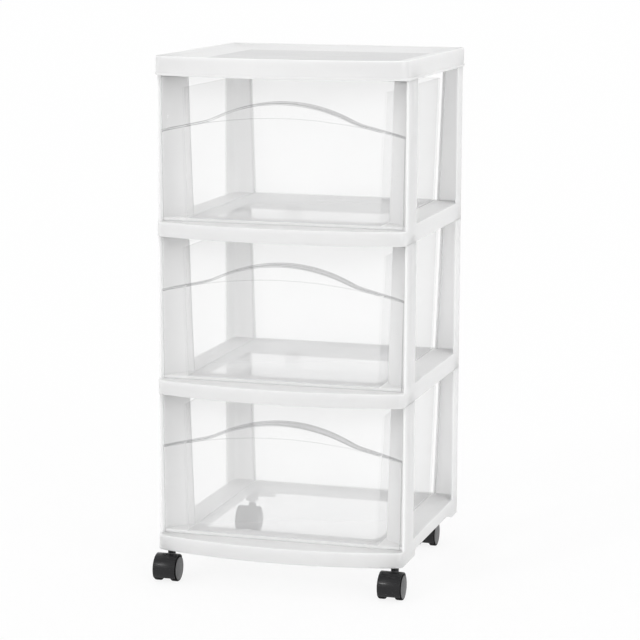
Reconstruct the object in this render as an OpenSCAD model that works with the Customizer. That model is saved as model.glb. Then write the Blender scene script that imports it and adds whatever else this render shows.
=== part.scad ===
// Three-tier rolling drawer tower: three moulded shelf frames stacked on each
// other, a shallow tray on top, three clear drawers and four hooded casters.
// Millimetres, +Z up, front towards -Y, origin on the floor below the middle.

/* [Frame plan] */
// Width across the outside of the posts
frame_w = 320; // [260:1:400]
// Depth from the front edge of the posts to the back
frame_d = 299; // [240:1:400]
// How far the bowed front rails stand out ahead of the posts at the middle
nose = 31; // [15:1:45]
// Rise of the bow between its ends and the middle
bow = 21; // [8:1:30]
// Corner radius in plan
corner_r = 10; // [7:0.5:20]

/* [Tiers] */
// Clear height of one tier, from its ledge to the skirt above
tier_open = 178; // [120:1:260]
// Height of the skirt around each shelf
skirt_h = 22; // [18:0.5:34]
// Height of the base's skirt
base_h = 23; // [20:0.5:40]
// Wall of the skirts
skirt_t = 3; // [2:0.1:4]
// Thickness of the ledges
plate_t = 3; // [2:0.1:4]
// Width of the ledges at the sides
side_ledge = 41; // [37:0.5:60]
// Width of the ledge at the back
back_ledge = 34; // [20:0.5:60]
// Ledge behind the front edge of the posts
front_ledge = 35; // [26:0.5:50]
// Corner radius of the opening in each shelf
opening_r = 15; // [6:0.5:30]
// Depth of the stiffening lip round the opening, below the ledge
lip_h = 6; // [3:0.5:9]
// Thickness of the lip and of the stop rib
lip_t = 2.5; // [1.5:0.1:4]
// How far the front rail's strip lies below the ledge
rail_step = 4; // [2:0.1:6]
// Place of the step behind the front edge of the posts
step_y = 7; // [6.4:0.1:9]

/* [Posts] */
// Wall of the posts' outer skin
post_t = 2.5; // [2:0.1:4]
// Depth of a front post along the side
front_post_d = 49; // [36:1:70]
// Depth of a back post along the side
back_post_d = 35; // [20:1:60]
// Setback of the front flange from the post's front edge
flange_set = 9; // [8:0.5:14]
// Turn of the front flange away from straight across
flange_turn = 47; // [35:1:60]
// Thickness of the flanges
flange_t = 2.4; // [1.6:0.1:3]
// Reach of the flanges in from the frame's sides, at the ceiling of a tier
flange_top = 26.7; // [18:0.1:30]
// Reach of the flanges in from the frame's sides, at the ledge
flange_foot = 33; // [20:0.1:36]
// Depth of the lip along the flanges' inner edges
flange_lip = 7; // [4:0.5:12]
// Height of the tenons that plug into the skirt above
tenon_h = 10; // [5:0.5:12]
// Clearance between a tenon and the skirt
tenon_gap = 0.4; // [0.1:0.1:1]
// Distance of the tenons from the posts' edges
tenon_in = 5; // [4:0.5:10]

/* [Top tray] */
// Height of the tray's skirt
tray_h = 24; // [20:0.5:34]
// How far the tray overhangs the frame
tray_over = 2; // [1:0.5:5]
// Height of the bead along the lower edge of the tray's skirt
bead_h = 3.5; // [2:0.5:6]
// How far the bead stands out from the skirt
bead_out = 0.8; // [0.3:0.1:1]
// Width of the flat rim on top
tray_rim = 4; // [2:0.5:8]
// Width of the sloping margin
tray_margin = 35; // [15:1:50]
// Depth of the tray floor below the rim
tray_depth = 6.5; // [3:0.5:9]
// How far the dish reaches past the rim's inner line where corners round it
corner_soft = 0.6; // [0.2:0.1:1]

/* [Drawers] */
// Wall of the drawers
drawer_t = 2; // [1.4:0.1:3]
// Setback of the drawer front from the posts' front edge
drawer_set = 3.5; // [2:0.1:4]
// Length from the drawer front to the outside of the back wall
drawer_len = 282; // [200:1:360]
// Height of the side and back walls
drawer_wall_h = 162; // [60:1:168]
// Gap between a drawer's sides and the flanges
drawer_gap = 1.8; // [0.6:0.1:4]
// Gap between the drawer front's edges and the posts
front_gap = 0.5; // [0.3:0.1:2]
// How much narrower the drawer front is at its bottom, each side
front_draft = 2.5; // [0:0.1:4]
// Gap between the drawer and what it runs on or under
run_gap = 0.3; // [0.2:0.1:1]
// Gap above and below the drawer front
front_z_gap = 0.8; // [0.4:0.1:2]
// Height of the pull's crown above the ledge
arch_top = 147; // [120:0.5:160]
// Height of the pull's ends above the ledge
arch_end = 110; // [80:0.5:120]
// Radius of the pull's crown
arch_r = 198; // [165:1:300]
// Slope of the straight ends of the pull
arch_slope = 0.21; // [0:0.01:0.4]
// Rounding where the crown meets the straight ends
arch_blend = 1; // [0.5:0.1:4]
// Height above the ledge at which the panel starts to flare out, at the middle
crease_top = 128; // [100:0.5:140]
// Radius of the line along which the panel starts to flare out
crease_r = 600; // [520:5:900]
// Slope of the flare
flare = 0.32; // [0:0.01:0.5]
// Setback of the upper panel at the middle
recess_mid = 18; // [8:0.5:24]
// Setback of the upper panel at the ends
recess_end = 1.5; // [0.5:0.1:4]
// Width of each stop lug on the back wall
lug_w = 22; // [10:1:40]
// Place of each stop lug out from the middle
lug_x = 70; // [40:1:90]
// How far the lugs stand up past the skirt above
lug_up = 7; // [4:0.5:9]
// How far the lugs run down the back wall
lug_hold = 8; // [4:0.5:20]
// Overlap of the lugs with the stop rib
lug_catch = 5; // [2:0.5:7]

/* [Casters] */
// Radius of the wheels
wheel_r = 16.5; // [12:0.5:25]
// Width over both wheels
caster_w = 32; // [27:0.5:40]
// Outer radius of the hood
hood_r = 18.5; // [14:0.5:28]
// Width of the hood
hood_w = 29; // [18:0.5:30]
// Wall of the hood
hood_t = 1.3; // [0.8:0.1:1.5]
// Thickness of the web between the wheels
hood_web = 7; // [5:0.5:8]
// Height of the fender's lower edge above the floor
fender_gap = 6.5; // [2:0.5:10]
// Trail of the axle ahead of the stem
trail = 15; // [13:0.5:22]
// Diameter of the steel stem
stem_d = 8; // [6:0.1:10]
// Length of stem inside the base's socket
stem_in = 14; // [10:0.5:15]
// Height of the steel collar
collar_h = 3.5; // [2:0.1:6]
// Diameter of the steel collar
collar_d = 11; // [9:0.1:14]
// Diameter of the hood's stem boss
boss_d = 12.4; // [11:0.1:14]
// Diameter of the neck that the boss narrows to above the web
neck_d = 10; // [9:0.1:11]
// Radius of the domed disc on the outside of each wheel
cap_r = 15; // [8:0.1:15.2]
// Height of the disc's dome
cap_dome = 0.6; // [0.2:0.1:1]
// Rounding of the treads' edges
tread_soft = 1.5; // [0.5:0.1:2]
// Diameter of the axle
axle_d = 4; // [3:0.1:6]
// Radial running clearance of the turning pieces
turn_gap = 0.06; // [0.02:0.01:0.1]
// Distance of the front stems from the frame's sides
front_stem_in = 13; // [10:0.5:40]
// Distance of the front stems behind the posts' front edge
front_stem_y = 8; // [6:0.5:40]
// Distance of the back stems from the frame's sides
back_stem_in = 35; // [13:0.5:50]
// Distance of the back stems ahead of the back face
back_stem_y = 24; // [14:0.5:40]
// Diameter of the socket bosses under the base
socket_d = 17; // [12:0.5:22]
// Height of the raised lower edge between the feet
foot_rise = 8; // [0:0.5:12]
// Length of the front feet along the sides
front_foot = 57; // [40:1:80]
// Length of the back feet along the sides
back_foot = 34; // [25:1:60]
// Length of the ramp that runs down to a back foot
foot_ramp = 32; // [4:1:60]
// Width of the back feet across the back
foot_w = 60; // [30:1:100]

/* [Hidden] */
$fn = 64;
tiers = 3;

// Heights: the hood's top, a gap, the collar, and then the base
hood_rise = 1.3;
swivel_gap = 0.2;
foot_z = wheel_r + hood_r + hood_rise + swivel_gap + collar_h;
pitch = tier_open + skirt_h;
function ledge_z(k) = foot_z + base_h + (tiers - 1 - k) * pitch;
function ceiling_z(k) = ledge_z(k) + tier_open;
top_z = ceiling_z(0) + tray_h;

// Plan of the frame: y0 is the posts' front edge
hw = frame_w / 2;
y0 = -(frame_d - nose) / 2;
back_y = y0 + frame_d;
flat_half = hw - corner_r;
bow_r = (flat_half * flat_half + bow * bow) / (2 * bow);
bow_y = y0 - nose + bow_r;
wedge_h = sqrt(pow(bow_r - corner_r, 2) - flat_half * flat_half);
corner_y = bow_y - wedge_h;

// Opening of the shelves
open_x = hw - side_ledge;
open_y0 = y0 + front_ledge;
open_y1 = back_y - back_ledge;

// Drawer front
front_half = hw - post_t - front_gap;
front_y = y0 + drawer_set;
recess_r = (front_half * front_half + pow(recess_mid - recess_end, 2))
    / (2 * (recess_mid - recess_end));
recess_y = front_y + recess_mid - recess_r;
arch_steps = 60;

// Stretch along Y that takes in the whole pull
pull_y = front_y - 20;
pull_len = recess_mid + 40;

// Casters: the stem's head, the wheels' side clearance and the stems' places
head_h = 1.6;
head_d = stem_d + 2;
head_z = wheel_r - 4;
wheel_gap = 0.5;
foot_x0 = hw - front_stem_in;
foot_x1 = hw - back_stem_in;
foot_y0 = y0 + front_stem_y;
foot_y1 = back_y - back_stem_y;
stem_places = [
    [-foot_x0, foot_y0],
    [foot_x0, foot_y0],
    [-foot_x1, foot_y1],
    [foot_x1, foot_y1]
];

white = [0.93, 0.93, 0.92];
clear = [0.85, 0.9, 0.93, 0.35];
black = [0.1, 0.1, 0.1];
grey = [0.3, 0.3, 0.3];
steel = [0.75, 0.76, 0.78];

// ---------------------------------------------------------------- helpers

// Extrudes a child drawn in X and Z along Y, from y to y + length.
module along_y(y, length) {
    translate([0, y + length, 0])
        rotate([90, 0, 0])
            linear_extrude(height = length)
                children();
}

// Extrudes a child drawn in Y and Z along X, centred on X = 0.
module along_x(length) {
    rotate([90, 0, 90])
        linear_extrude(height = length, center = true)
            children();
}

// Extrudes a plan shape from z to z + height.
module up_from(z, height) {
    translate([0, 0, z])
        linear_extrude(height = height)
            children();
}

// A box given by its low and high corners.
module span(low, high) {
    translate(low)
        cube(high - low);
}

module both_sides() {
    children();
    mirror([1, 0, 0])
        children();
}

// Outline of the frame in plan, grown by g: straight sides and back with
// round corners, and a shallow arc that runs tangent into the front corners.
module plan(g) {
    reach = 1.15;
    corner = corner_r + g;
    translate([-hw - g, corner_y])
        square([2 * (hw + g), back_y - corner_r - corner_y]);
    translate([-flat_half, corner_y])
        square([2 * flat_half, back_y + g - corner_y]);
    for (x = [-flat_half, flat_half]) {
        translate([x, corner_y])
            circle(r = corner);
        translate([x, back_y - corner_r])
            circle(r = corner);
    }
    intersection() {
        translate([0, bow_y])
            circle(r = bow_r + g, $fn = 360);
        polygon([
            [-flat_half, corner_y + corner_r],
            [flat_half, corner_y + corner_r],
            [flat_half, corner_y],
            [reach * flat_half, bow_y - reach * wedge_h],
            [-reach * flat_half, bow_y - reach * wedge_h],
            [-flat_half, corner_y]
        ]);
    }
}

// Rounded opening of a shelf in plan, grown by g.
module opening(g) {
    r = opening_r + g;
    x1 = open_x - opening_r;
    ya = open_y0 + opening_r;
    yb = open_y1 - opening_r;
    translate([-x1 - r, ya])
        square([2 * (x1 + r), yb - ya]);
    translate([-x1, ya - r])
        square([2 * x1, yb - ya + 2 * r]);
    for (x = [-x1, x1], y = [ya, yb])
        translate([x, y])
            circle(r = r);
}

// ---------------------------------------------------------------- frames

// Half of the gap between the flanges at height t of the tier, from 0 to 1.
function slot_half(t) = hw - flange_foot + (flange_foot - flange_top) * t;

// Region beyond the flanges' tapered inner edge in X and Z, moved out by d.
module beyond_edge(z0, z1, d) {
    far = hw + post_t;
    foot = slot_half(0) + d;
    head = slot_half(1) + d;
    step = (head - foot) / (z1 - z0);
    polygon([
        [foot - step * tenon_h, z0 - tenon_h],
        [far, z0 - tenon_h],
        [far, z1 + tenon_h],
        [head + step * tenon_h, z1 + tenon_h]
    ]);
}

// Everything behind a slanting plane through the post's front hinge line,
// set back by d.
module behind_flange(z, height, d) {
    translate([hw - post_t, y0 + flange_set, z])
        rotate([0, 0, -flange_turn])
            translate([-frame_w, d, 0])
                cube([2 * frame_w, frame_w, height]);
}

// Slanting front flange with a tapered inner edge and a lip along that edge.
module front_flange(z0, z1) {
    z_low = z0 - plate_t / 2;
    rise = z1 - plate_t / 2 - z_low;
    mid_x = hw - post_t / 2;
    lip_y = y0 + flange_set + (hw - post_t - slot_half(1)) * tan(flange_turn) + flange_lip;
    difference() {
        intersection() {
            along_y(y0, lip_y - y0)
                beyond_edge(z0, z1, 0);
            behind_flange(z_low, rise, 0);
            span([0, y0, z_low], [mid_x, lip_y + 1, z_low + rise]);
        }
        intersection() {
            along_y(y0 - 1, lip_y - y0 + 2)
                beyond_edge(z0, z1, flange_t);
            behind_flange(z_low - 1, rise + 2, flange_t);
        }
    }
}

// Plate that closes a front post at the top, a little proud of the flange.
module corner_plate(z1) {
    proud = 0.4;
    plate_x = slot_half(1) - proud;
    turn_y = y0 + flange_set - proud / cos(flange_turn);
    inner_y = turn_y + (hw - post_t - plate_x) * tan(flange_turn);
    rear_y = max(y0 + front_post_d, inner_y + flange_lip);
    up_from(z1 - plate_t, plate_t)
        polygon([
            [hw, corner_y],
            [hw, rear_y],
            [plate_x, rear_y],
            [plate_x, inner_y],
            [hw - post_t, turn_y],
            [hw - post_t, corner_y]
        ]);
}

// Front post on the right: outer skin, flange, plate and the tenon above.
module front_post(z0, z1) {
    tenon_x = hw - skirt_t - tenon_gap;
    front_flange(z0, z1);
    corner_plate(z1);
    span([hw - post_t, corner_y, z0 - rail_step - plate_t / 2],
        [hw, y0 + front_post_d, z1 - plate_t / 2]);
    span([tenon_x - post_t, y0 + flange_set + tenon_in, z1 - plate_t / 2],
        [tenon_x, y0 + front_post_d - tenon_in, z1 + tenon_h]);
}

// Back post on the right: skin round the corner with a tapered inner edge,
// its lip, the corner plate and the tenon.
module back_post(z0, z1) {
    z_low = z0 - plate_t / 2;
    front = back_y - back_post_d;
    tenon_x = hw - skirt_t - tenon_gap;
    intersection() {
        up_from(z_low, z1 - z_low)
            difference() {
                plan(0);
                plan(-post_t);
            }
        along_y(front, back_post_d + 1)
            beyond_edge(z0, z1, 0);
    }
    intersection() {
        span([0, back_y - flange_lip - post_t, z_low], [hw, back_y - post_t / 2, z1]);
        along_y(front, back_post_d)
            difference() {
                beyond_edge(z0, z1, 0);
                beyond_edge(z0, z1, flange_t);
            }
    }
    intersection() {
        up_from(z1 - plate_t, plate_t)
            plan(-post_t / 2);
        span([slot_half(1) + flange_t / 2, front, z1 - plate_t - 1], [hw, back_y, z1 + 1]);
    }
    span([tenon_x - post_t, front + tenon_in, z1 - plate_t / 2],
        [tenon_x, back_y - corner_r - tenon_in, z1 + tenon_h]);
}

module posts(z0, z1) {
    both_sides() {
        front_post(z0, z1);
        back_post(z0, z1);
    }
}

// Rib under the front rail: the drawer below pulls out until its lugs meet it.
module stop_rib(z0, z1) {
    half = lug_x + lug_w;
    span([-half, open_y0 - lip_t, z0], [half, open_y0, z1]);
}

// Ledge ring with its skirt, lowered front strip and lip round the opening.
module ledge_ring(z, height) {
    hollow_z = z - height - 1;
    difference() {
        up_from(z - height, height)
            plan(0);
        up_from(hollow_z, z - rail_step - plate_t - hollow_z)
            plan(-skirt_t);
        up_from(hollow_z, z - plate_t - hollow_z)
            intersection() {
                plan(-skirt_t);
                translate([-hw, y0 + step_y + lip_t])
                    square([frame_w, frame_d]);
            }
        span([-frame_w, y0 - 2 * nose, z - rail_step], [frame_w, y0 + step_y, z + 1]);
        up_from(z - height - 1, height + 2)
            opening(0);
    }
    up_from(z - plate_t - lip_h, lip_h + plate_t / 2)
        difference() {
            opening(lip_t);
            opening(0);
        }
}

// One tier's moulding: ledge ring, the posts above it and the stop rib below.
module shelf_frame(k) {
    ledge_ring(ledge_z(k), skirt_h);
    posts(ledge_z(k), ceiling_z(k));
    stop_rib(ceiling_z(k + 1) + lug_up - lug_catch, ledge_z(k) - plate_t / 2);
}

// Window that raises the base's lower edge between two feet.
module foot_arch(from, to, ramp) {
    polygon([
        [from, foot_z - 1],
        [from + 3, foot_z + foot_rise - 1.5],
        [from + 6, foot_z + foot_rise],
        [to - ramp, foot_z + foot_rise],
        [to, foot_z - 1]
    ]);
}

// Socket boss for a stem: up to the lowered strip at the front, and up to
// the ledge at the back.
module socket(p) {
    drop = p[1] < 0 ? rail_step : 0;
    translate([p[0], p[1], foot_z])
        cylinder(d = socket_d, h = base_h - drop - plate_t / 2);
}

module base_frame() {
    z = ledge_z(tiers - 1);
    bore = stem_d + 4 * turn_gap;
    color(white)
        difference() {
            union() {
                difference() {
                    ledge_ring(z, base_h);
                    along_x(frame_w + 10)
                        foot_arch(y0 + front_foot, back_y - back_foot, foot_ramp);
                    along_y(back_y - corner_r, 2 * corner_r)
                        foot_arch(-hw + foot_w, hw - foot_w, foot_rise);
                }
                posts(z, ceiling_z(tiers - 1));
                for (p = stem_places)
                    socket(p);
            }
            for (p = stem_places)
                translate([p[0], p[1], foot_z - 1])
                    cylinder(d = bore, h = stem_in + 1 + run_gap);
        }
}

module upper_frame() {
    color(white)
        shelf_frame(0);
}

module middle_frame() {
    color(white)
        shelf_frame(1);
}

// Dish with sloping margins, from the rim at z_rim down by depth. The front
// margin is part of a cone, so that it follows the bow. The margins start at
// a distance of inset from the tray's edge, and run on a little above z_rim.
module dish(inset, depth, z_rim) {
    over = 1;
    more = tray_margin * over / depth;
    reach = tray_margin + more;
    z_floor = z_rim - depth;
    x = hw + tray_over - inset + more;
    y = back_y + tray_over - inset + more;
    cone_r = bow_r + tray_over - inset + more;
    intersection() {
        along_y(bow_y - cone_r, y + cone_r)
            polygon([
                [-x, z_rim + over],
                [-x + reach, z_floor],
                [x - reach, z_floor],
                [x, z_rim + over]
            ]);
        along_x(2 * x)
            polygon([
                [bow_y - cone_r, z_rim + over],
                [bow_y - cone_r, z_floor],
                [y - reach, z_floor],
                [y, z_rim + over]
            ]);
        translate([0, bow_y, z_floor])
            cylinder(r1 = cone_r - reach, r2 = cone_r, h = depth + over, $fn = 360);
    }
}

module top_tray() {
    z = ceiling_z(0);
    skirt = tray_over - bead_out;
    color(white) {
        difference() {
            union() {
                up_from(z, tray_h)
                    plan(skirt);
                up_from(z, bead_h)
                    plan(tray_over);
            }
            intersection() {
                dish(tray_rim, tray_depth, top_z);
                up_from(z, tray_h + 2)
                    plan(tray_over - tray_rim + corner_soft);
            }
            difference() {
                up_from(z - 1, tray_h + 1 - plate_t)
                    plan(skirt - skirt_t);
                translate([0, 0, -plate_t])
                    dish(tray_rim - plate_t, tray_depth, top_z);
            }
        }
        stop_rib(z + lug_up - lug_catch, top_z - tray_depth - plate_t / 2);
        tray_seat();
    }
}

// Pads inside the tray's skirt, beside the frame's tenons: they stand on the
// posts and keep the overhanging tray centred.
module tray_seat() {
    z = ceiling_z(0);
    inner = hw + tray_over - bead_out - skirt_t;
    pad_h = tenon_h + 2;
    pad_len = back_post_d - corner_r - tenon_in;
    both_sides()
        for (y = [y0 + front_post_d - tenon_in - pad_len, back_y - back_post_d + tenon_in])
            span([hw - skirt_t, y, z], [inner + skirt_t / 2, y + pad_len, z + pad_h]);
}

// ---------------------------------------------------------------- drawers

// Height of the pull's edge above the ledge at a distance x from the middle:
// a round crown that blends into straight falling ends.
function crown_z(x) = arch_top - arch_r + sqrt(arch_r * arch_r - x * x);
function end_z(x) = arch_end + arch_slope * (front_half - abs(x));
function arch_z(x) = (crown_z(x) + end_z(x)) / 2
    + sqrt(pow((crown_z(x) - end_z(x)) / 2, 2) + arch_blend * arch_blend);

// Half width of the drawer front at a height above the ledge.
function front_x(h) = front_half - front_draft * (1 - h / tier_open);

// Points along the pull, from left to right, shifted down by d.
function arch_line(z, d) = [
    for (i = [0 : arch_steps])
        let (x = front_x(arch_end) * (2 * i / arch_steps - 1))
        [x, z + arch_z(x) - d]
];

function reversed(list) = [for (i = [len(list) - 1 : -1 : 0]) list[i]];

// Everything behind the front face, set back by d. The face is flat below the
// crease, and flares out above it as a wide cone.
module behind_face(z, d) {
    rim = crease_r + arch_top - crease_top + drawer_t;
    translate([0, front_y + d, z + crease_top - crease_r])
        rotate([90, 0, 0])
            rotate_extrude($fn = 360)
                polygon([
                    [0, -pull_len],
                    [0, 0],
                    [crease_r, 0],
                    [rim, flare * (rim - crease_r)],
                    [rim, -pull_len]
                ]);
}

module lower_panel(z, low) {
    intersection() {
        along_y(pull_y, pull_len)
            polygon(concat(
                [[front_x(low), z + low], [-front_x(low), z + low]],
                arch_line(z, 0)
            ));
        difference() {
            behind_face(z, 0);
            behind_face(z, drawer_t);
        }
    }
}

// The space above the pull's edge, as wide as the drawer front.
module above_arch(z, d, top) {
    polygon(concat(
        [[front_x(top), z + top], [-front_x(top), z + top]],
        arch_line(z, d)
    ));
}

module upper_panel(z, top) {
    intersection() {
        up_from(z, tier_open)
            difference() {
                translate([0, recess_y])
                    circle(r = recess_r + drawer_t, $fn = 360);
                translate([0, recess_y])
                    circle(r = recess_r, $fn = 360);
                translate([-2 * recess_r, recess_y - 2 * recess_r])
                    square([4 * recess_r, 2 * recess_r]);
            }
        along_y(pull_y, pull_len)
            above_arch(z, drawer_t, top);
    }
}

// Arched ledge of the pull, from the flared front face back to the upper
// panel.
module pull_ledge(z) {
    intersection() {
        up_from(z, tier_open)
            translate([0, recess_y])
                circle(r = recess_r + drawer_t, $fn = 360);
        behind_face(z, 0);
        along_y(pull_y, pull_len)
            polygon(concat(arch_line(z, 0), reversed(arch_line(z, drawer_t))));
    }
}

// Open space in front of the upper panel, cut out of the side walls. It runs
// on above the drawer.
module recess_space(z, top) {
    over = drawer_t;
    intersection() {
        up_from(z, tier_open + over)
            translate([0, recess_y])
                circle(r = recess_r + drawer_t / 2, $fn = 360);
        along_y(pull_y, pull_len)
            above_arch(z, drawer_t / 2, top + over);
    }
}

// Side wall of the drawer in X and Z, leaning with the flanges' edges.
module leaning_wall(z, height) {
    foot = slot_half(0) - drawer_gap;
    head = slot_half(height / tier_open) - drawer_gap;
    polygon([
        [foot - drawer_t, z],
        [foot, z],
        [head, z + height],
        [head - drawer_t, z + height]
    ]);
}

module drawer(k) {
    z = ledge_z(k);
    low = front_z_gap - rail_step;
    top = tier_open - 2 * front_z_gap;
    floor_z = z + run_gap;
    foot = slot_half(0) - drawer_gap;
    wall_y = front_y + drawer_t / 2;
    rear_y = front_y + drawer_len;
    lug_top = z + tier_open + lug_up;
    lug_root = floor_z + drawer_wall_h - lug_hold;
    color(clear) {
        lower_panel(z, low);
        pull_ledge(z);
        upper_panel(z, top);
        span([-foot, wall_y, floor_z], [foot, rear_y, floor_z + drawer_t]);
        difference() {
            union() {
                both_sides()
                    along_y(wall_y, rear_y - wall_y)
                        leaning_wall(floor_z, drawer_wall_h);
                along_y(rear_y - drawer_t, drawer_t)
                    back_wall(floor_z, drawer_wall_h);
            }
            recess_space(z, top);
        }
        both_sides()
            span([lug_x - lug_w / 2, rear_y - drawer_t, lug_root],
                [lug_x + lug_w / 2, rear_y, lug_top]);
    }
}

// Back wall of the drawer in X and Z.
module back_wall(z, height) {
    foot = slot_half(0) - drawer_gap;
    head = slot_half(height / tier_open) - drawer_gap;
    polygon([[-foot, z], [foot, z], [head, z + height], [-head, z + height]]);
}

module drawer_upper() {
    drawer(0);
}

module drawer_middle() {
    drawer(1);
}

module drawer_lower() {
    drawer(2);
}

// ---------------------------------------------------------------- casters

// Steel stem: a pin in the base's socket, a collar under the foot, and a
// headed lower end that carries the hood.
module stem(p) {
    color(steel)
        translate([p[0], p[1], 0]) {
            translate([0, 0, head_z])
                cylinder(d = stem_d, h = foot_z + stem_in - head_z);
            translate([0, 0, head_z])
                cylinder(d = head_d, h = head_h);
            translate([0, 0, foot_z - collar_h])
                cylinder(d = collar_d, h = collar_h);
        }
}

// Fender over both wheels: it covers them from low at the front, over the
// top, and down to a little above the axle behind.
module fender() {
    back_low = 4;
    back_end = trail - 2;
    intersection() {
        rotate([0, 90, 0])
            difference() {
                cylinder(r = hood_r, h = hood_w, center = true);
                cylinder(r = hood_r - hood_t, h = hood_w + 1, center = true);
            }
        union() {
            span([-hood_w, -2 * hood_r, fender_gap - wheel_r], [hood_w, 0, 2 * hood_r]);
            span([-hood_w, -1, back_low], [hood_w, back_end, 2 * hood_r]);
        }
    }
}

// Hood: the fender, a web for the axle and a boss that turns on the stem. It
// is drawn round the axle's middle.
module hood(p) {
    low = fender_gap - wheel_r;
    boss_low = low + 3;
    boss_top = hood_r + hood_rise;
    web_top = 0.6 * hood_r;
    pocket_top = head_z - wheel_r + head_h + swivel_gap;
    color(black)
        translate([p[0], p[1] - trail, wheel_r])
            difference() {
                union() {
                    fender();
                    intersection() {
                        rotate([0, 90, 0])
                            cylinder(r = hood_r - hood_t / 2, h = hood_web, center = true);
                        span([-hood_w, -2 * hood_r, low], [hood_w, 2 * hood_r, 2 * hood_r]);
                    }
                    span([-hood_web / 2, 0, boss_low], [hood_web / 2, trail, web_top]);
                    translate([0, trail, boss_low])
                        cylinder(d = boss_d, h = web_top - boss_low);
                    translate([0, trail, boss_low])
                        cylinder(d = neck_d, h = boss_top - boss_low);
                }
                translate([0, trail, low])
                    cylinder(d = stem_d + 2 * turn_gap, h = 2 * boss_top);
                translate([0, trail, low])
                    cylinder(d = head_d + 2 * turn_gap, h = pocket_top - low);
                rotate([0, 90, 0])
                    cylinder(d = axle_d, h = caster_w, center = true);
            }
}

// Axle: a pin through the hood's web that ends inside the wheels' faces.
module axle(p) {
    end_in = 2.5;
    color(steel)
        translate([p[0], p[1] - trail, wheel_r])
            rotate([0, 90, 0])
                cylinder(d = axle_d, h = caster_w - 2 * end_in, center = true);
}

// Wheel profile from the web outwards: hub, dished inside, tread with round
// edges, and the domed disc.
module wheel_profile() {
    hub_x = hood_web / 2 + wheel_gap;
    rim_x = boss_d / 2 + wheel_gap;
    out_x = caster_w / 2;
    cap_x = out_x - cap_dome;
    face_t = 1.8;
    face_x = out_x - face_t;
    dish_x = face_x - 1;
    tread_t = 2.2;
    hub_r = axle_d / 2 + 2.4;
    bore_r = axle_d / 2 + turn_gap;
    part = tread_soft * 0.3;
    polygon([
        [bore_r, hub_x],
        [hub_r, hub_x],
        [hub_r, dish_x],
        [wheel_r - tread_t, dish_x],
        [wheel_r - tread_t, rim_x],
        [wheel_r - tread_soft, rim_x],
        [wheel_r - part, rim_x + part],
        [wheel_r, rim_x + tread_soft],
        [wheel_r, cap_x - tread_soft],
        [wheel_r - part, cap_x - part],
        [cap_r, cap_x],
        [cap_r * 0.75, cap_x + cap_dome * 0.44],
        [cap_r * 0.5, cap_x + cap_dome * 0.75],
        [cap_r * 0.25, out_x],
        [0, out_x],
        [0, face_x],
        [bore_r, face_x]
    ]);
}

// Wheel on one side of a caster: side is -1 for the left and 1 for the right.
module wheel(p, side) {
    color(grey)
        translate([p[0], p[1] - trail, wheel_r])
            rotate([0, side * 90, 0])
                rotate_extrude()
                    wheel_profile();
}

top_tray();
upper_frame();
middle_frame();
base_frame();
drawer_upper();
drawer_middle();
drawer_lower();
stem(stem_places[0]);  // stem_fl
stem(stem_places[1]);  // stem_fr
stem(stem_places[2]);  // stem_bl
stem(stem_places[3]);  // stem_br
hood(stem_places[0]);  // hood_fl
hood(stem_places[1]);  // hood_fr
hood(stem_places[2]);  // hood_bl
hood(stem_places[3]);  // hood_br
axle(stem_places[0]);  // axle_fl
axle(stem_places[1]);  // axle_fr
axle(stem_places[2]);  // axle_bl
axle(stem_places[3]);  // axle_br
wheel(stem_places[0], -1);  // wheel_fl_left
wheel(stem_places[0], 1);  // wheel_fl_right
wheel(stem_places[1], -1);  // wheel_fr_left
wheel(stem_places[1], 1);  // wheel_fr_right
wheel(stem_places[2], -1);  // wheel_bl_left
wheel(stem_places[2], 1);  // wheel_bl_right
wheel(stem_places[3], -1);  // wheel_br_left
wheel(stem_places[3], 1);  // wheel_br_right
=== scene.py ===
import math

import bmesh
import bpy
from mathutils import Matrix, Vector


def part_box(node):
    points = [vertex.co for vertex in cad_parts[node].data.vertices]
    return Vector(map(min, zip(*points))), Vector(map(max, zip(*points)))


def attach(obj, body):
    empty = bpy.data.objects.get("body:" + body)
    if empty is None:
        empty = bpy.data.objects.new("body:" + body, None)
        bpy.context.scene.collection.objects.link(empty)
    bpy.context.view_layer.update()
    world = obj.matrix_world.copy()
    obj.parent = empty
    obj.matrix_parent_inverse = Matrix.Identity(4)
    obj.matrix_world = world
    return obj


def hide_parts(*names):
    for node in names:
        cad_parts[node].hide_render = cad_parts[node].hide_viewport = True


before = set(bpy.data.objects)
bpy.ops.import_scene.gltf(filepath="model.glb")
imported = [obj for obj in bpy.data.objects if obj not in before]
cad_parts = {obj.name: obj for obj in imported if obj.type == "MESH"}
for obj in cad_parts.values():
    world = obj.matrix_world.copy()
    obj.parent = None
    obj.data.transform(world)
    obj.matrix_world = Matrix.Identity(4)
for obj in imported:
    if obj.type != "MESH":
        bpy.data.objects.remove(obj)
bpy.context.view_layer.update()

MM = 0.001
FEET = ("fl", "fr", "bl", "br")
SIDES = (("left", -1), ("right", 1))

# Heights of the three ledges, and the span above a ledge that holds the pull
LEDGES = {"upper": 0.463, "middle": 0.263, "lower": 0.063}
PULL_FROM = 100 * MM
PULL_TO = 160 * MM
# A drawer's floor lies below this height above its ledge
DRAWER_FLOOR_TO = 12 * MM

# Depths on the drawers: the panel's crease and the pull lie ahead of these
DRAWER_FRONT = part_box("drawer_upper")[0][1]
CREASE_BACK = DRAWER_FRONT + 9.2 * MM
PULL_BACK = DRAWER_FRONT + 36 * MM

# Heights between which the tray's floor lies
TRAY_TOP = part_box("top_tray")[1][2]
DISH_FROM = TRAY_TOP - 10 * MM
DISH_TO = TRAY_TOP - 4 * MM

# Camera: place in metres, turns in degrees, and focal length in millimetres
EYE = Vector((0.877, -2.972, 0.847))
EYE_TURN = 16.23
EYE_PITCH = 9.64
EYE_ROLL = 0.25
EYE_LENS = 137.1
EYE_SENSOR = 36.0
EYE_REACH = 200.0

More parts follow.
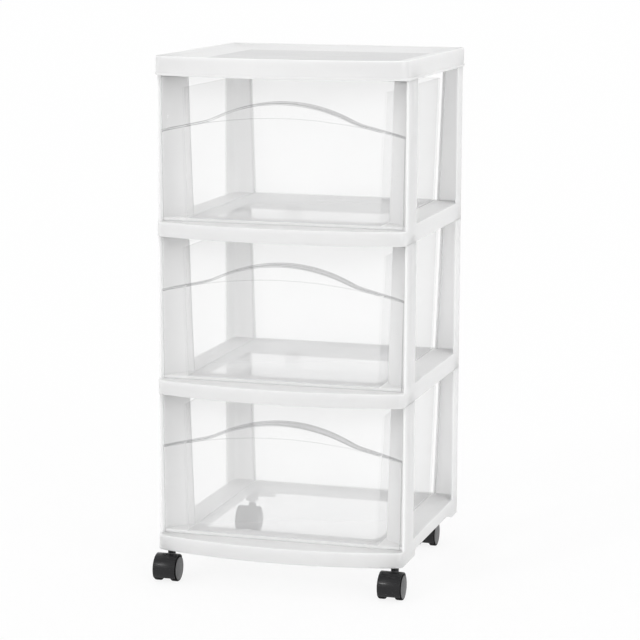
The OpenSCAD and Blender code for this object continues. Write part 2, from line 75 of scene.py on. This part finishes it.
# Lamps: name, azimuth and height in degrees, strength, and softness in degrees
LAMPS = (("key", -30, 30, 0.5, 12), ("fill", 50, 20, 0.5, 25))
# How much dimmer the world is straight above than at the horizon
WORLD_DIMMING = 0.2
# Share of the floor that shows as plain white; the rest holds the shadow
FLOOR_GLOW = 0.86
FLOOR_RADIUS = 60.0


# ---------------------------------------------------------------- materials

PLASTIC_IOR = 1.49
# How deep light wanders in the white plastic
WHITE_DEPTH = 14 * MM
# The middle stretch of a noise, which is spread over a whole range
NOISE_FROM, NOISE_TO = 0.35, 0.65


def new_material(name, colour, roughness):
    """A Principled material; returns it with its tree and shader."""
    material = bpy.data.materials.new(name)
    material.use_nodes = True
    tree = material.node_tree
    shader = tree.nodes["Principled BSDF"]
    shader.inputs["Base Color"].default_value = (*colour, 1)
    shader.inputs["Roughness"].default_value = roughness
    return material, tree, shader


def plug(tree, value, socket):
    """Sets a socket to a number, or links it to another socket."""
    if isinstance(value, (int, float)):
        socket.default_value = value
    else:
        tree.links.new(value, socket)


def calculate(tree, operation, *values):
    """A Math node on sockets and numbers."""
    node = tree.nodes.new("ShaderNodeMath")
    node.operation = operation
    for value, socket in zip(values, node.inputs):
        plug(tree, value, socket)
    return node.outputs["Value"]


def mix_shaders(tree, factor, first, second):
    """Mixes two shaders, by a share or by a socket."""
    mix = tree.nodes.new("ShaderNodeMixShader")
    plug(tree, factor, mix.inputs["Fac"])
    tree.links.new(first, mix.inputs[1])
    tree.links.new(second, mix.inputs[2])
    return mix.outputs["Shader"]


def noise(tree, scale, detail=2.0, stretch=None):
    """Noise on Object coordinates, at so many cycles a metre, alike in all
    directions or stretched by a number for each."""
    place = tree.nodes.new("ShaderNodeTexCoord").outputs["Object"]
    if stretch:
        mapping = tree.nodes.new("ShaderNodeMapping")
        mapping.inputs["Scale"].default_value = stretch
        tree.links.new(place, mapping.inputs["Vector"])
        place = mapping.outputs["Vector"]
    texture = tree.nodes.new("ShaderNodeTexNoise")
    texture.inputs["Scale"].default_value = scale
    texture.inputs["Detail"].default_value = detail
    tree.links.new(place, texture.inputs["Vector"])
    return texture.outputs["Fac"]


def spread(tree, source, low, high):
    """Maps a noise onto a range of values."""
    ramp = tree.nodes.new("ShaderNodeMapRange")
    ramp.inputs["From Min"].default_value = NOISE_FROM
    ramp.inputs["From Max"].default_value = NOISE_TO
    ramp.inputs["To Min"].default_value = low
    ramp.inputs["To Max"].default_value = high
    tree.links.new(source, ramp.inputs["Value"])
    return ramp.outputs["Result"]


def uneven_colour(tree, shader, scale, first, second):
    """Lets a shader's colour wander between two, and returns that colour."""
    mix = tree.nodes.new("ShaderNodeMix")
    mix.data_type = "RGBA"
    mix.inputs["A"].default_value = (*first, 1)
    mix.inputs["B"].default_value = (*second, 1)
    tree.links.new(spread(tree, noise(tree, scale), 0.0, 1.0), mix.inputs["Factor"])
    tree.links.new(mix.outputs["Result"], shader.inputs["Base Color"])
    return mix.outputs["Result"]


def uneven_shine(tree, shader, source, low, high):
    """Lets a shader's roughness wander between two values."""
    tree.links.new(spread(tree, source, low, high), shader.inputs["Roughness"])


def relief(tree, shader, source, height):
    """Raises a pattern on the surface, by a height in metres."""
    bump = tree.nodes.new("ShaderNodeBump")
    bump.inputs["Strength"].default_value = 1.0
    bump.inputs["Distance"].default_value = height
    tree.links.new(source, bump.inputs["Height"])
    tree.links.new(bump.outputs["Normal"], shader.inputs["Normal"])


def grain(tree, shader, scale, height):
    """Fine moulded grain on the surface, of a height in metres."""
    relief(tree, shader, noise(tree, scale, 3.0), height)


def let_light_through(shader, share):
    """Light wanders through the thin white walls, as it does in polypropylene."""
    shader.inputs["Subsurface Weight"].default_value = share
    shader.inputs["Subsurface Radius"].default_value = (1.0, 1.0, 1.0)
    shader.inputs["Subsurface Scale"].default_value = WHITE_DEPTH


def white_plastic():
    """Satin moulded white, faintly uneven in tone and shine."""
    material, tree, shader = new_material("white_plastic", (0.7, 0.7, 0.7), 0.42)
    uneven_colour(tree, shader, 9.0, (0.69, 0.69, 0.692), (0.712, 0.712, 0.71))
    uneven_shine(tree, shader, noise(tree, 420.0), 0.38, 0.5)
    shader.inputs["IOR"].default_value = PLASTIC_IOR
    let_light_through(shader, 1.0)
    grain(tree, shader, 2600.0, 0.012 * MM)
    return material


def dish_grain_and_shade():
    """The tray's floor: the same white painted darker as shade in the dish, with a
    coarser, duller grain.
    """
    material, tree, shader = new_material("dish_grain_and_shade", (0.63, 0.63, 0.63), 0.6)
    uneven_colour(tree, shader, 6.0, (0.61, 0.61, 0.613), (0.65, 0.65, 0.649))
    uneven_shine(tree, shader, noise(tree, 300.0), 0.5, 0.7)
    shader.inputs["IOR"].default_value = PLASTIC_IOR
    let_light_through(shader, 0.4)
    grain(tree, shader, 1100.0, 0.03 * MM)
    return material


def veiled_plastic(name, low, high, veil, haze, roughness=0.1):
    """Faintly milky clear plastic. The veil is the share of what is seen that
    each face covers, and the haze is the share of that lit from behind. Light
    itself passes freely."""
    material, tree, shader = new_material(name, low, roughness)
    colour = uneven_colour(tree, shader, 14.0, low, high)
    uneven_shine(tree, shader, noise(tree, 90.0), roughness, roughness + 0.07)
    shader.inputs["IOR"].default_value = PLASTIC_IOR
    onward = tree.nodes.new("ShaderNodeBsdfTranslucent")
    tree.links.new(colour, onward.inputs["Color"])
    milk = mix_shaders(tree, haze, shader.outputs["BSDF"], onward.outputs["BSDF"])
    clear = tree.nodes.new("ShaderNodeBsdfTransparent")
    clear.inputs["Color"].default_value = (1, 1, 1, 1)
    rays = tree.nodes.new("ShaderNodeLightPath").outputs
    light = calculate(tree, "MAXIMUM", rays["Is Shadow Ray"], rays["Is Diffuse Ray"])
    share = calculate(tree, "MULTIPLY_ADD", light, -veil, veil)
    surface = mix_shaders(tree, share, clear.outputs["BSDF"], milk)
    tree.links.new(surface, tree.nodes["Material Output"].inputs["Surface"])
    return material


def black_nylon():
    """Black hoods, with the fine level streaks that the photograph shows."""
    material, tree, shader = new_material("black_nylon", (0.006, 0.006, 0.007), 0.3)
    shader.inputs["Specular IOR Level"].default_value = 0.36
    streaks = noise(tree, 1.0, stretch=(60.0, 60.0, 1500.0))
    uneven_shine(tree, shader, streaks, 0.22, 0.4)
    relief(tree, shader, streaks, 0.08 * MM)
    return material


def wheel_nylon():
    """Dull black nylon wheels, painted a deeper black than the hoods as painted
    shade in the gap under the hoods; the darkest part of a caster.
    """
    material, tree, shader = new_material("wheel_nylon", (0.002, 0.002, 0.002), 0.45)
    shader.inputs["Specular IOR Level"].default_value = 0.03
    uneven_shine(tree, shader, noise(tree, 500.0), 0.36, 0.55)
    grain(tree, shader, 2400.0, 0.02 * MM)
    return material


def wheel_cap():
    """Greyer discs on the wheels, with a fine satin grain."""
    material, tree, shader = new_material("wheel_cap", (0.055, 0.055, 0.057), 0.4)
    uneven_colour(tree, shader, 60.0, (0.045, 0.045, 0.047), (0.065, 0.065, 0.067))
    uneven_shine(tree, shader, noise(tree, 600.0), 0.34, 0.5)
    grain(tree, shader, 2600.0, 0.015 * MM)
    return material


def plated_steel():
    """Bright plating on the stems and axles, faintly uneven in shine."""
    material, tree, shader = new_material("plated_steel", (0.78, 0.79, 0.8), 0.2)
    shader.inputs["Metallic"].default_value = 1.0
    uneven_shine(tree, shader, noise(tree, 900.0), 0.14, 0.3)
    return material


WHITE = white_plastic()
DISH_GRAIN_AND_SHADE = dish_grain_and_shade()
BLACK = black_nylon()
# Painted shade: the wheels are a deeper black than the hoods
SHADED_WHEEL = wheel_nylon()
CAP = wheel_cap()
STEEL = plated_steel()

# The drawers' finishes. A face's kind is its finish's place in this list. The greyer
# finishes are painted shade.
(WALL_FACES, FRONT_FACES, SHADED_PULL_FACES, SHADED_CREASE_FACES, SHADED_EDGE_FACES, SHADED_LINE_FACES,
 SIDE_FACES, SHADED_OUTLINE_FACES, FLOOR_FACES) = range(9)
DRAWER_FINISHES = [
    # Painted light and shade: the wall, front, side and floor finishes are one clear
    # plastic, in copies of differing tone, veil and haze set by which way the face
    # turns
    veiled_plastic("clear_wall", (0.96, 0.962, 0.965), (0.985, 0.986, 0.988),
                   veil=0.2, haze=0.85, roughness=0.06),
    veiled_plastic("clear_front", (0.94, 0.942, 0.945), (0.97, 0.971, 0.973),
                   veil=0.14, haze=0.15, roughness=0.06),
    # Painted shade: the pull, crease, edge, line and outline finishes are greyer
    # than the walls, for the dark lines that light draws in clear plastic
    veiled_plastic("clear_pull_painted_shade", (0.58, 0.585, 0.59), (0.64, 0.645, 0.65),
                   veil=0.36, haze=0.3),
    veiled_plastic("clear_crease_painted_shade", (0.62, 0.625, 0.63), (0.68, 0.685, 0.69),
                   veil=0.3, haze=0.4),
    veiled_plastic("clear_edge_painted_shade", (0.6, 0.605, 0.61), (0.66, 0.665, 0.67),
                   veil=0.3, haze=0.4, roughness=0.12),
    veiled_plastic("clear_line_painted_shade", (0.13, 0.132, 0.134), (0.18, 0.182, 0.184),
                   veil=0.68, haze=0.3),
    veiled_plastic("clear_side", (0.95, 0.952, 0.955), (0.98, 0.981, 0.983),
                   veil=0.14, haze=0.5, roughness=0.06),
    veiled_plastic("clear_outline_painted_shade", (0.3, 0.303, 0.306), (0.36, 0.363, 0.366),
                   veil=0.5, haze=0.3),
    veiled_plastic("clear_floor", (0.96, 0.962, 0.965), (0.985, 0.986, 0.988),
                   veil=0.3, haze=0.6, roughness=0.06)]


# ---------------------------------------------------------------- pieces

def finished(mesh_data, name, materials, body):
    """Makes a piece of a bmesh, gives it its finish and sets it on its body."""
    mesh = bpy.data.meshes.new(name)
    mesh_data.to_mesh(mesh)
    mesh_data.free()
    for material in materials:
        mesh.materials.append(material)
    mesh.shade_smooth()
    mesh.set_sharp_from_angle(angle=math.radians(35))
    piece = bpy.data.objects.new(name, mesh)
    bpy.context.scene.collection.objects.link(piece)
    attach(piece, body)
    return piece


def merge_close(mesh):
    """Merges vertices that lie on one spot."""
    bmesh.ops.remove_doubles(mesh, verts=mesh.verts, dist=0.005 * MM)


def mark(faces, kind):
    """Gives faces their kind, which is their finish's place in the list."""
    for face in faces:
        face.material_index = kind


def merged_copy(node):
    """A node's shape as a bmesh, its loose triangles merged into flat faces."""
    mesh = bmesh.new()
    mesh.from_mesh(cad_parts[node].data)
    merge_close(mesh)
    bmesh.ops.dissolve_limit(
        mesh, angle_limit=math.radians(0.6), verts=mesh.verts, edges=mesh.edges)
    mark(mesh.faces, 0)
    return mesh


def round_edges(mesh, edges, radius, segments=2):
    """Rounds edges as a mould leaves them, and returns the new faces."""
    made = bmesh.ops.bevel(
        mesh, geom=edges, offset=radius, offset_type="OFFSET", affect="EDGES",
        segments=segments, profile=0.5, material=-1, clamp_overlap=False)
    return made["faces"]


def sharp_edges(mesh, least=30.0):
    """The edges that turn by more than so many degrees."""
    return [e for e in mesh.edges
            if e.is_manifold and e.calc_face_angle() > math.radians(least)]


def moulded(node, radius, material, body):
    """A moulding: the node's shape, its edges rounded by so many millimetres."""
    mesh = merged_copy(node)
    round_edges(mesh, sharp_edges(mesh), radius * MM)
    piece = finished(mesh, f"{node}_moulding", [material], body)
    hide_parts(node)


def tray():
    """The top tray, whose floor has its own grain and painted shade. Its finer steps
    take finer rounding."""
    mesh = merged_copy("top_tray")
    # Painted shade: the dish's floor gets a darker finish than the rest of the tray
    mark([face for face in mesh.faces if face.normal.z > 0.995
          and DISH_FROM < face.calc_center_median().z < DISH_TO], 1)
    round_edges(mesh, sharp_edges(mesh, 50.0), 0.25 * MM)
    piece = finished(
        mesh, "top_tray_moulding", [WHITE, DISH_GRAIN_AND_SHADE], "frame")
    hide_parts("top_tray")


def plain(node, material):
    """A node that keeps its own shape and gets a finish."""
    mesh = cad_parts[node].data
    mesh.materials.clear()
    mesh.materials.append(material)


# Drawers: their walls, the arched pull and the fine lines along their edges, the
# pull and lines in greyer painted shade

def kind_of(face, ledge):
    """Which part of a drawer a face belongs to."""
    middle = face.calc_center_median()
    if middle.y < PULL_BACK:
        if abs(face.normal.y) > 0.5:
            return FRONT_FACES
        on_pull = ledge + PULL_FROM < middle.z < ledge + PULL_TO
        if on_pull and abs(face.normal.z) > 0.5:
            return SHADED_PULL_FACES
        return WALL_FACES
    if abs(face.normal.x) > 0.5:
        return SIDE_FACES
    if abs(face.normal.z) > 0.9 and middle.z < ledge + DRAWER_FLOOR_TO:
        return FLOOR_FACES
    return WALL_FACES


def touches(edge, kind):
    """Whether a face of this kind meets the edge."""
    return any(face.material_index == kind for face in edge.link_faces)


def lies_within(edge, kind):
    """Whether all of the edge's faces are of this kind."""
    return all(face.material_index == kind for face in edge.link_faces)


def clear_drawer(tier, ledge):
    """A clear drawer, whose edges, creases and pull are painted greyer than its
    walls: painted shade for the dark lines that light draws in clear plastic.
    """
    mesh = merged_copy(f"drawer_{tier}")
    for face in mesh.faces:
        face.material_index = kind_of(face, ledge)
    # Painted shade: the pull's rims, the panel's creases, the front's outline and
    # the other edges get greyer finishes as dark lines
    shaded_rims = [e for e in sharp_edges(mesh)
            if touches(e, SHADED_PULL_FACES) and touches(e, FRONT_FACES)]
    mark(round_edges(mesh, shaded_rims, 0.45 * MM), SHADED_LINE_FACES)
    shaded_creases = [
        e for e in mesh.edges
        if e.is_manifold and 8 < math.degrees(e.calc_face_angle()) < 25
        and all(v.co.z > ledge + PULL_FROM and v.co.y < CREASE_BACK for v in e.verts)
        and lies_within(e, FRONT_FACES)]
    mark(round_edges(mesh, shaded_creases, 0.35 * MM, 1), SHADED_CREASE_FACES)
    shaded_outline = [
        e for e in sharp_edges(mesh)
        if any(face.material_index == FRONT_FACES and face.normal.y < -0.5
               for face in e.link_faces)
        and touches(e, WALL_FACES)]
    mark(round_edges(mesh, shaded_outline, 0.5 * MM), SHADED_OUTLINE_FACES)
    done = (SHADED_LINE_FACES, SHADED_CREASE_FACES, SHADED_OUTLINE_FACES)
    shaded_edges = [e for e in sharp_edges(mesh)
            if not any(touches(e, kind) for kind in done)]
    mark(round_edges(mesh, shaded_edges, 0.3 * MM), SHADED_EDGE_FACES)
    piece = finished(
        mesh, f"drawer_{tier}_clear", DRAWER_FINISHES, f"{tier}_drawer")
    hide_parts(f"drawer_{tier}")


def turned_wheel(foot, side, turn):
    """A wheel turned about its axle's line, with a groove round its disc."""
    node = f"wheel_{foot}_{side}"
    low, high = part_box(node)
    middle = [(a + b) / 2 for a, b in zip(low, high)]
    radius = (high[2] - low[2]) / 2
    out = high[0] if turn > 0 else low[0]
    # Places along the axle: a step of mm leads outwards
    mm = MM * turn
    hub_end = out - (high[0] - low[0]) * turn
    tread_end = hub_end + 2.7 * mm
    bore_end = out - 1.8 * mm
    disc_edge = out - 0.6 * mm
    bore_radius = 2.06 * MM
    hub_radius = 4.4 * MM
    tread_inside = radius - 2.2 * MM
    profile = [
        (0.0, bore_end), (bore_radius, bore_end), (bore_radius, hub_end),
        (hub_radius, hub_end), (hub_radius, bore_end - mm),
        (tread_inside, bore_end - mm), (tread_inside, tread_end),
        # the tread, with soft edges
        (radius - 1.5 * MM, tread_end), (radius - 0.75 * MM, tread_end + 0.2 * mm),
        (radius - 0.2 * MM, tread_end + 0.75 * mm), (radius, tread_end + 1.5 * mm),
        (radius, disc_edge - 1.6 * mm), (radius - 0.2 * MM, disc_edge - 0.8 * mm),
        (radius - 0.7 * MM, disc_edge - 0.2 * mm), (15.1 * MM, disc_edge),
        # the groove
        (15.0 * MM, disc_edge - 0.5 * mm), (14.7 * MM, disc_edge - 0.5 * mm),
        # the domed disc
        (14.5 * MM, disc_edge + 0.05 * mm), (11.2 * MM, disc_edge + 0.27 * mm),
        (7.5 * MM, disc_edge + 0.45 * mm), (3.8 * MM, out), (0.0, out)]
    mesh = bmesh.new()
    line = [mesh.verts.new((x, middle[1], middle[2] + r)) for r, x in profile]
    edges = [mesh.edges.new(pair) for pair in zip(line, line[1:])]
    bmesh.ops.spin(
        mesh, geom=line + edges, cent=middle, axis=(1, 0, 0),
        angle=math.radians(360), steps=96, use_merge=True, use_duplicate=False)
    merge_close(mesh)
    bmesh.ops.recalc_face_normals(mesh, faces=mesh.faces)
    for face in mesh.faces:
        place = face.calc_center_median()
        reach = math.hypot(place.y - middle[1], place.z - middle[2])
        if reach < 14.6 * MM and (place.x - disc_edge) * turn > -0.3 * MM:
            face.material_index = 1
    piece = finished(
        mesh, f"{node}_turned", [SHADED_WHEEL, CAP], f"wheel_{foot}_{side}")
    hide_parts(node)


tray()
for node in ("upper_frame", "middle_frame", "base_frame"):
    moulded(node, 0.5, WHITE, "frame")
for tier, ledge in LEDGES.items():
    clear_drawer(tier, ledge)
for foot in FEET:
    moulded(f"stem_{foot}", 0.25, STEEL, "frame")
    moulded(f"hood_{foot}", 0.5, BLACK, f"caster_{foot}")
    plain(f"axle_{foot}", STEEL)
    for side, turn in SIDES:
        turned_wheel(foot, side, turn)


# ---------------------------------------------------------------- studio

def place_object(name, data):
    """Puts a lamp, a camera or a mesh into the scene."""
    holder = bpy.data.objects.new(name, data)
    bpy.context.scene.collection.objects.link(holder)
    return holder


def pale_floor():
    """Pale floor: it shows almost white, and keeps a soft shadow."""
    mesh = bmesh.new()
    bmesh.ops.create_circle(mesh, cap_ends=True, segments=96, radius=FLOOR_RADIUS)
    data = bpy.data.meshes.new("floor")
    mesh.to_mesh(data)
    mesh.free()
    ground = place_object("floor", data)
    material, tree, shader = new_material("floor", (0.94, 0.94, 0.94), 0.9)
    shader.inputs["Specular IOR Level"].default_value = 0.0
    glow = tree.nodes.new("ShaderNodeEmission")
    rays = tree.nodes.new("ShaderNodeLightPath").outputs
    seen = calculate(tree, "MAXIMUM", rays["Is Camera Ray"], rays["Is Glossy Ray"])
    seen = calculate(tree, "MAXIMUM", seen, rays["Is Transmission Ray"])
    share = calculate(tree, "MULTIPLY", seen, FLOOR_GLOW)
    surface = mix_shaders(
        tree, share, shader.outputs["BSDF"], glow.outputs["Emission"])
    tree.links.new(surface, tree.nodes["Material Output"].inputs["Surface"])
    data.materials.append(material)


def room():
    """World: white all round, and a little dimmer straight above."""
    world = bpy.data.worlds.new("room")
    bpy.context.scene.world = world
    world.use_nodes = True
    tree = world.node_tree
    light = tree.nodes["Background"]
    light.inputs["Color"].default_value = (1, 1, 1, 1)
    way = tree.nodes.new("ShaderNodeTexCoord").outputs["Generated"]
    split = tree.nodes.new("ShaderNodeSeparateXYZ")
    tree.links.new(way, split.inputs["Vector"])
    rise = split.outputs["Z"]
    steep = calculate(tree, "MULTIPLY", rise, rise)
    level = calculate(tree, "MULTIPLY_ADD", steep, -WORLD_DIMMING, 1.0)
    tree.links.new(level, light.inputs["Strength"])


def soft_sun(name, azimuth, height, strength, softness):
    """A distant soft lamp."""
    lamp = bpy.data.lights.new(name, "SUN")
    lamp.energy = strength
    lamp.angle = math.radians(softness)
    holder = place_object(name, lamp)
    holder.rotation_euler = (math.radians(90 - height), 0, math.radians(azimuth))


def camera():
    """The photograph's view of the tower."""
    lens = bpy.data.cameras.new("camera")
    lens.sensor_width = EYE_SENSOR
    lens.lens = EYE_LENS
    lens.clip_end = EYE_REACH
    eye = place_object("camera", lens)
    turn = Matrix.Rotation(math.radians(EYE_TURN), 4, "Z")
    pitch = Matrix.Rotation(math.radians(90 - EYE_PITCH), 4, "X")
    roll = Matrix.Rotation(math.radians(EYE_ROLL), 4, "Z")
    eye.matrix_world = Matrix.Translation(EYE) @ turn @ pitch @ roll
    bpy.context.scene.camera = eye


pale_floor()
room()
for lamp in LAMPS:
    soft_sun(*lamp)
camera()

scene = bpy.context.scene
scene.view_settings.view_transform = "Standard"
